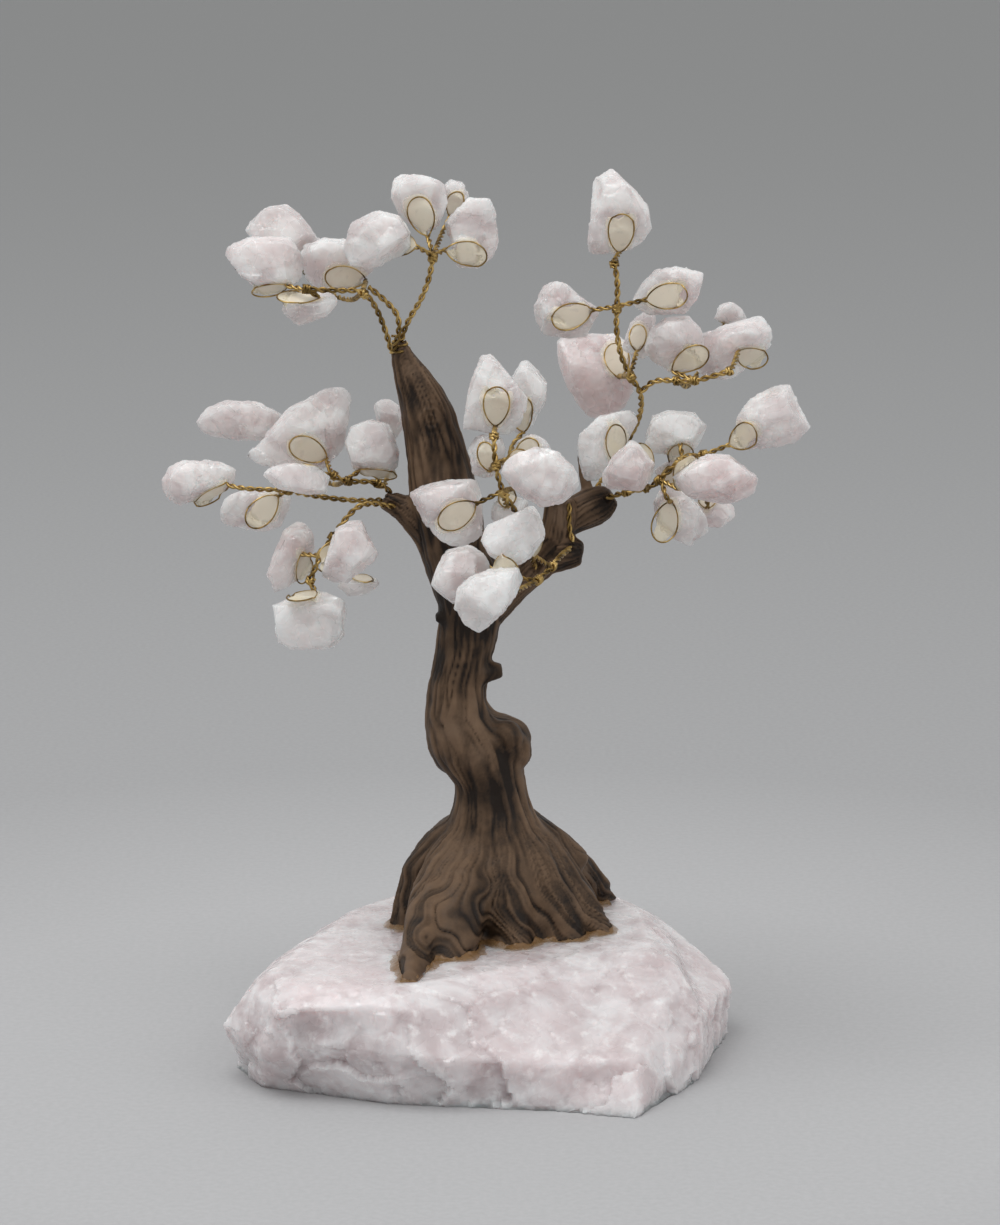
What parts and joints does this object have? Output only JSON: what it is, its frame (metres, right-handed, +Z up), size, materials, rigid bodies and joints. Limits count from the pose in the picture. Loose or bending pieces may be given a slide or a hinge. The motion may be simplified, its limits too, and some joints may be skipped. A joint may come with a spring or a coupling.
{
  "type": "gemstone tree ornament",
  "caption": "Table ornament shaped like a bonsai: rough rose-quartz chips glued to twisted brass wire sprays on a cast brown trunk, standing on a rough quartz slab.",
  "frame": {"origin": "on the slab's resting face, under the middle of the crown", "axes": "+Z up, +X to the viewer's right, +Y away from the viewer"},
  "size_m": [0.1078, 0.0779, 0.1464],
  "materials": {
    "slab_quartz": "frosted, milky, broken faces",
    "pale_quartz": "frosted, partly translucent",
    "pink_quartz": "frosted, partly translucent",
    "white_quartz": "frosted, milky",
    "cast_bark": "dark brown, dry brushed",
    "brass_wire": "drawn, slightly tarnished",
    "clear_glue": "yellowish film",
    "amber_glue": "amber bead"
  },
  "bodies": {
    "stand": {"base_slab": "slab_quartz", "trunk": "cast_bark", "foot_glue": "amber_glue"},
    "upper_left_spray": {"upper_left_wire": "brass_wire", "upper_left_glue": "clear_glue", "upper_left_chip_1": "pale_quartz", "upper_left_chip_2": "pale_quartz", "upper_left_chip_3": "pale_quartz", "upper_left_chip_4": "pale_quartz"},
    "crown_spray": {"crown_wire": "brass_wire", "crown_glue": "clear_glue", "crown_chip_1": "pale_quartz", "crown_chip_2": "pale_quartz", "crown_chip_3": "pale_quartz", "crown_chip_4": "pale_quartz"},
    "left_high_spray": {"left_high_wire": "brass_wire", "left_high_glue": "clear_glue", "left_high_chip_1": "pale_quartz", "left_high_chip_2": "pale_quartz", "left_high_chip_3": "pale_quartz", "left_high_small_chips": "pale_quartz"},
    "left_tip_spray": {"left_tip_wire": "brass_wire", "left_tip_glue": "clear_glue", "left_tip_chip_1": "pale_quartz", "left_tip_chip_2": "pale_quartz"},
    "left_low_spray": {"left_low_wire": "brass_wire", "left_low_glue": "clear_glue", "left_low_chip_1": "pink_quartz", "left_low_twin_chips": "pale_quartz", "left_low_chip_2": "white_quartz"},
    "middle_spray": {"middle_wire": "brass_wire", "middle_glue": "clear_glue", "middle_chip_1": "pale_quartz", "middle_chip_2": "white_quartz", "middle_chip_3": "pale_quartz", "middle_chip_4": "pale_quartz", "middle_small_chips": "pale_quartz"},
    "middle_low_spray": {"middle_low_wire": "brass_wire", "middle_low_glue": "clear_glue", "middle_low_chip_1": "white_quartz", "middle_low_chip_2": "pale_quartz", "middle_low_chip_3": "white_quartz"},
    "right_high_spray": {"right_high_wire": "brass_wire", "right_high_glue": "clear_glue", "right_high_chip_1": "pale_quartz", "right_high_chip_2": "pale_quartz", "right_high_chip_3": "pale_quartz", "right_high_chip_4": "pink_quartz", "right_high_chip_5": "pale_quartz", "right_high_chip_6": "pale_quartz", "right_high_small_chips": "pale_quartz"},
    "right_spray": {"right_wire": "brass_wire", "right_glue": "clear_glue", "right_chip_1": "white_quartz", "right_chip_2": "pink_quartz", "right_chip_3": "white_quartz", "right_chip_4": "pale_quartz", "right_chip_5": "pink_quartz", "right_chip_6": "pale_quartz", "right_small_chips": "pink_quartz"}
  },
  "joints": [
    {"name": "upper_left_bend", "type": "hinge", "parent": "stand", "child": "upper_left_spray", "pos_m": [-0.01572, 0.0058, 0.11704], "axis": [-0.6543, 0, -0.7562], "range_deg": [-12, 12]},
    {"name": "crown_bend", "type": "hinge", "parent": "stand", "child": "crown_spray", "pos_m": [-0.01426, 0.007, 0.1185], "axis": [-0.9744, 0, 0.2247], "range_deg": [-12, 12]},
    {"name": "left_high_bend", "type": "hinge", "parent": "stand", "child": "left_high_spray", "pos_m": [-0.01606, 0.007, 0.09325], "axis": [-0.5197, 0, -0.8544], "range_deg": [-10, 10]},
    {"name": "left_tip_bend", "type": "hinge", "parent": "stand", "child": "left_tip_spray", "pos_m": [-0.01741, 0.0076, 0.09181], "axis": [-0.0192, 0, -0.9998], "range_deg": [-10, 10]},
    {"name": "left_low_bend", "type": "hinge", "parent": "stand", "child": "left_low_spray", "pos_m": [-0.01537, 0.0052, 0.09107], "axis": [0.7005, 0, -0.7136], "range_deg": [-10, 10]},
    {"name": "middle_bend", "type": "hinge", "parent": "stand", "child": "middle_spray", "pos_m": [0.00795, 0.004, 0.08109], "axis": [-0.9647, 0, -0.2632], "range_deg": [-2, 8]},
    {"name": "middle_low_bend", "type": "hinge", "parent": "stand", "child": "middle_low_spray", "pos_m": [0.01371, 0.0025, 0.08455], "axis": [-0.0374, 0, -0.9993], "range_deg": [-12, 3]},
    {"name": "right_high_bend", "type": "hinge", "parent": "stand", "child": "right_high_spray", "pos_m": [0.01828, 0.01, 0.09323], "axis": [-0.9707, 0, 0.2404], "range_deg": [-6, 12]},
    {"name": "right_bend", "type": "hinge", "parent": "stand", "child": "right_spray", "pos_m": [0.02003, 0.0067, 0.0923], "axis": [-0.4892, 0, 0.8722], "range_deg": [-10, 10]}
  ]
}
